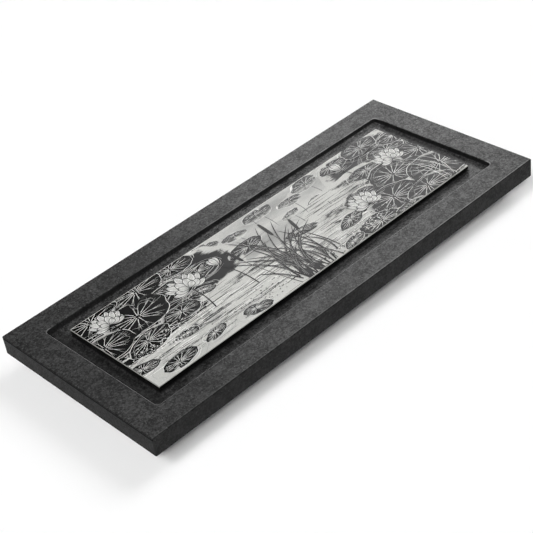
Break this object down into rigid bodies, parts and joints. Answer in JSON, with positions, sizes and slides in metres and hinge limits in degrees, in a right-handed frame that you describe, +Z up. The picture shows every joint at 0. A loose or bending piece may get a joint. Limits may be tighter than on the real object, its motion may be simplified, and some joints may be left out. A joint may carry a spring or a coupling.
{
  "type": "gongfu tea tray",
  "caption": "Long flat stone tea tray with a sunken moat round a lift-off picture board, a hidden drain with a swivelling outlet, and round feet.",
  "frame": {"origin": "on the table, under the middle of the slab", "axes": "+X along the slab away from the drain end, +Y to the back long side, +Z up"},
  "size_m": [0.6, 0.252, 0.049],
  "materials": {
    "slab_stone": "fine honed black stone",
    "board_stone": "printed matte stone, pale grey with dark ink",
    "steel": "turned stainless steel",
    "seal_rubber": "milky moulded silicone",
    "pad_rubber": "dark moulded silicone",
    "foot_rubber": "dark moulded rubber"
  },
  "bodies": {
    "tray": {"stone_slab": "slab_stone", "drain_body": "steel", "drain_strainer": "steel", "strainer_screw": "steel", "flange_gasket": "seal_rubber", "under_washer": "seal_rubber", "lock_nut": "steel", "board_pad_front_left": "pad_rubber", "board_pad_front_middle": "pad_rubber", "board_pad_front_right": "pad_rubber", "board_pad_back_left": "pad_rubber", "board_pad_back_middle": "pad_rubber", "board_pad_back_right": "pad_rubber", "foot_front_left": "foot_rubber", "foot_front_middle": "foot_rubber", "foot_front_right": "foot_rubber", "foot_back_left": "foot_rubber", "foot_back_middle": "foot_rubber", "foot_back_right": "foot_rubber"},
    "board": {"picture_board": "board_stone"},
    "outlet": {"outlet_elbow": "steel", "elbow_seal_ring": "pad_rubber"}
  },
  "joints": [
    {"name": "board_lift", "type": "slide", "parent": "tray", "child": "board", "axis": [0, 0, 1], "range_m": [0, 0.06]},
    {"name": "outlet_swivel", "type": "hinge", "parent": "tray", "child": "outlet", "pos_m": [-0.1695, 0, 0.018], "axis": [0, 0, 1], "continuous": true}
  ]
}
